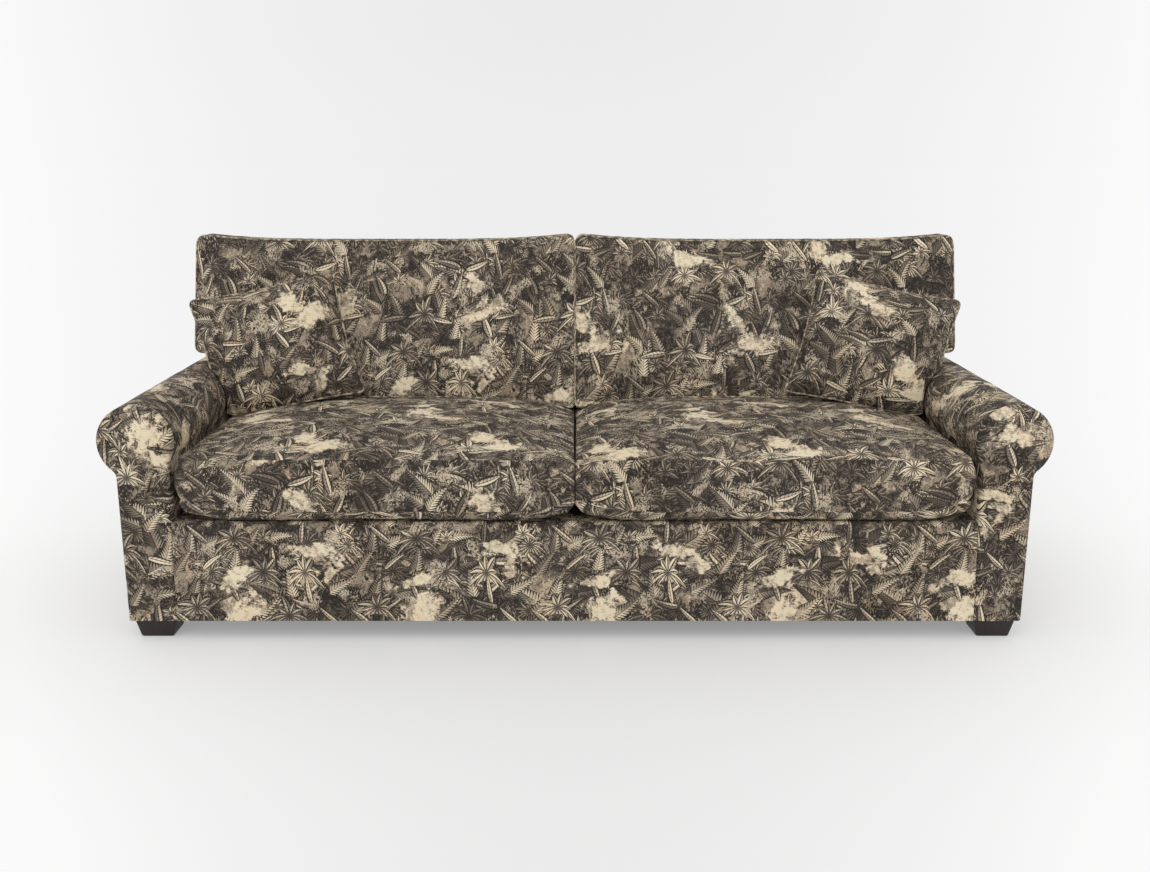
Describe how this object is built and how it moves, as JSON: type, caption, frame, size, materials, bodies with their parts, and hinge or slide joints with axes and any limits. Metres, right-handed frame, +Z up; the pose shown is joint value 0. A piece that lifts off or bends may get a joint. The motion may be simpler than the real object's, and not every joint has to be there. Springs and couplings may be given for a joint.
{
  "type": "sofa",
  "caption": "Upholstered sofa with rolled arms, boxed seat cushions, back cushions that reach over the arms, loose scatter cushions and low tapered block feet.",
  "frame": {"origin": "on the floor, in the middle of the sofa's width and depth", "axes": "+X to the right as seen from the front, +Y from the front to the back, +Z up"},
  "size_m": [2.4, 1.039, 0.9762],
  "materials": {
    "printed_fabric": "matt woven cotton and linen with a sepia leaf print",
    "foam": "upholstery foam, wadding and feather inserts",
    "frame_timber": "planed softwood and plywood",
    "fibreboard": "bent fibreboard",
    "foot_wood": "very dark stained hardwood, satin",
    "spring_steel": "drawn spring wire and pressed clips",
    "bolt_steel": "zinc plated bolts",
    "webbing": "woven elastic webbing",
    "dust_cloth": "thin black non-woven cloth"
  },
  "bodies": {
    "frame": {"front_rail": "frame_timber", "seat_back_rail": "frame_timber", "left_side_rail": "frame_timber", "right_side_rail": "frame_timber", "centre_bearer": "frame_timber", "corner_blocks": "frame_timber", "seat_springs": "spring_steel", "spring_clips": "spring_steel", "seat_deck_pad": "foam", "seat_deck_cover": "printed_fabric", "front_border_pad": "foam", "front_border": "printed_fabric", "dust_cover": "dust_cloth", "left_front_foot": "foot_wood", "right_front_foot": "foot_wood", "left_rear_foot": "foot_wood", "right_rear_foot": "foot_wood", "centre_foot": "foot_wood", "foot_bolts": "bolt_steel", "left_back_post": "frame_timber", "right_back_post": "frame_timber", "back_stiles": "frame_timber", "back_top_rail": "frame_timber", "back_tack_rail": "frame_timber", "back_bottom_rail": "frame_timber", "back_webbing": "webbing", "back_pad": "foam", "inside_back_cover": "printed_fabric", "outside_back_cover": "printed_fabric", "left_arm_front_board": "frame_timber", "left_arm_back_board": "frame_timber", "left_arm_rails": "frame_timber", "left_arm_roll_panel": "fibreboard", "left_arm_pad": "foam", "left_arm_cover": "printed_fabric", "left_outside_arm": "printed_fabric", "left_arm_facing": "printed_fabric", "left_arm_facing_pad": "foam", "right_arm_front_board": "frame_timber", "right_arm_back_board": "frame_timber", "right_arm_rails": "frame_timber", "right_arm_roll_panel": "fibreboard", "right_arm_pad": "foam", "right_arm_cover": "printed_fabric", "right_outside_arm": "printed_fabric", "right_arm_facing": "printed_fabric", "right_arm_facing_pad": "foam"},
    "left_seat_cushion": {"left_seat_cushion": "printed_fabric", "left_seat_core": "foam"},
    "left_back_cushion": {"left_back_cushion": "printed_fabric", "left_back_insert": "foam"},
    "left_scatter_cushion": {"left_scatter_cushion": "printed_fabric", "left_scatter_insert": "foam"},
    "right_seat_cushion": {"right_seat_cushion": "printed_fabric", "right_seat_core": "foam"},
    "right_back_cushion": {"right_back_cushion": "printed_fabric", "right_back_insert": "foam"},
    "right_scatter_cushion": {"right_scatter_cushion": "printed_fabric", "right_scatter_insert": "foam"}
  },
  "joints": [
    {"name": "left_seat_cushion_slide", "type": "slide", "parent": "frame", "child": "left_seat_cushion", "axis": [0, -1, 0], "range_m": [0, 0.8]},
    {"name": "left_back_cushion_lift", "type": "slide", "parent": "frame", "child": "left_back_cushion", "axis": [0, 0.2756, 0.9613], "range_m": [0, 0.55]},
    {"name": "left_scatter_cushion_lift", "type": "slide", "parent": "frame", "child": "left_scatter_cushion", "axis": [0, 0, 1], "range_m": [0, 0.45]},
    {"name": "right_seat_cushion_slide", "type": "slide", "parent": "frame", "child": "right_seat_cushion", "axis": [0, -1, 0], "range_m": [0, 0.8]},
    {"name": "right_back_cushion_lift", "type": "slide", "parent": "frame", "child": "right_back_cushion", "axis": [0, 0.2756, 0.9613], "range_m": [0, 0.55]},
    {"name": "right_scatter_cushion_lift", "type": "slide", "parent": "frame", "child": "right_scatter_cushion", "axis": [0, 0, 1], "range_m": [0, 0.45]}
  ]
}
